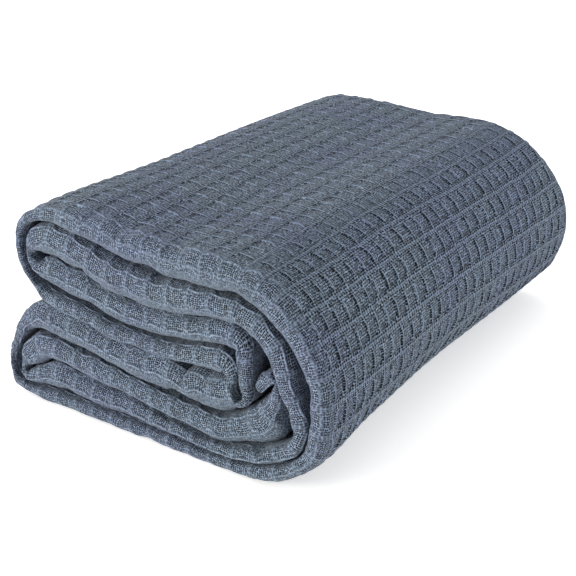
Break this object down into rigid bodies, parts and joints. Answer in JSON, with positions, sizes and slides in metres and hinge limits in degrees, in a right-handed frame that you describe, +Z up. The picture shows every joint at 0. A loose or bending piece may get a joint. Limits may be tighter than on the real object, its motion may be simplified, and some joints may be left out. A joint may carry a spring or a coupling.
{
  "type": "folded waffle weave blanket",
  "caption": "Waffle weave cotton blanket, folded lengthwise into a strip that is laid back and forth and wrapped into a thick bundle, to lie on a shelf, bed or chair.",
  "frame": {"origin": "centre of the underside, on the surface that the bundle rests on", "axes": "+X away from the open lobes and towards the wrapped side, +Y along the folds, +Z up from the surface"},
  "size_m": [0.2876, 0.377, 0.1598],
  "materials": {
    "slate_cotton": "matt slate blue waffle weave"
  },
  "bodies": {
    "root": {"blanket": "slate_cotton"}
  },
  "joints": []
}
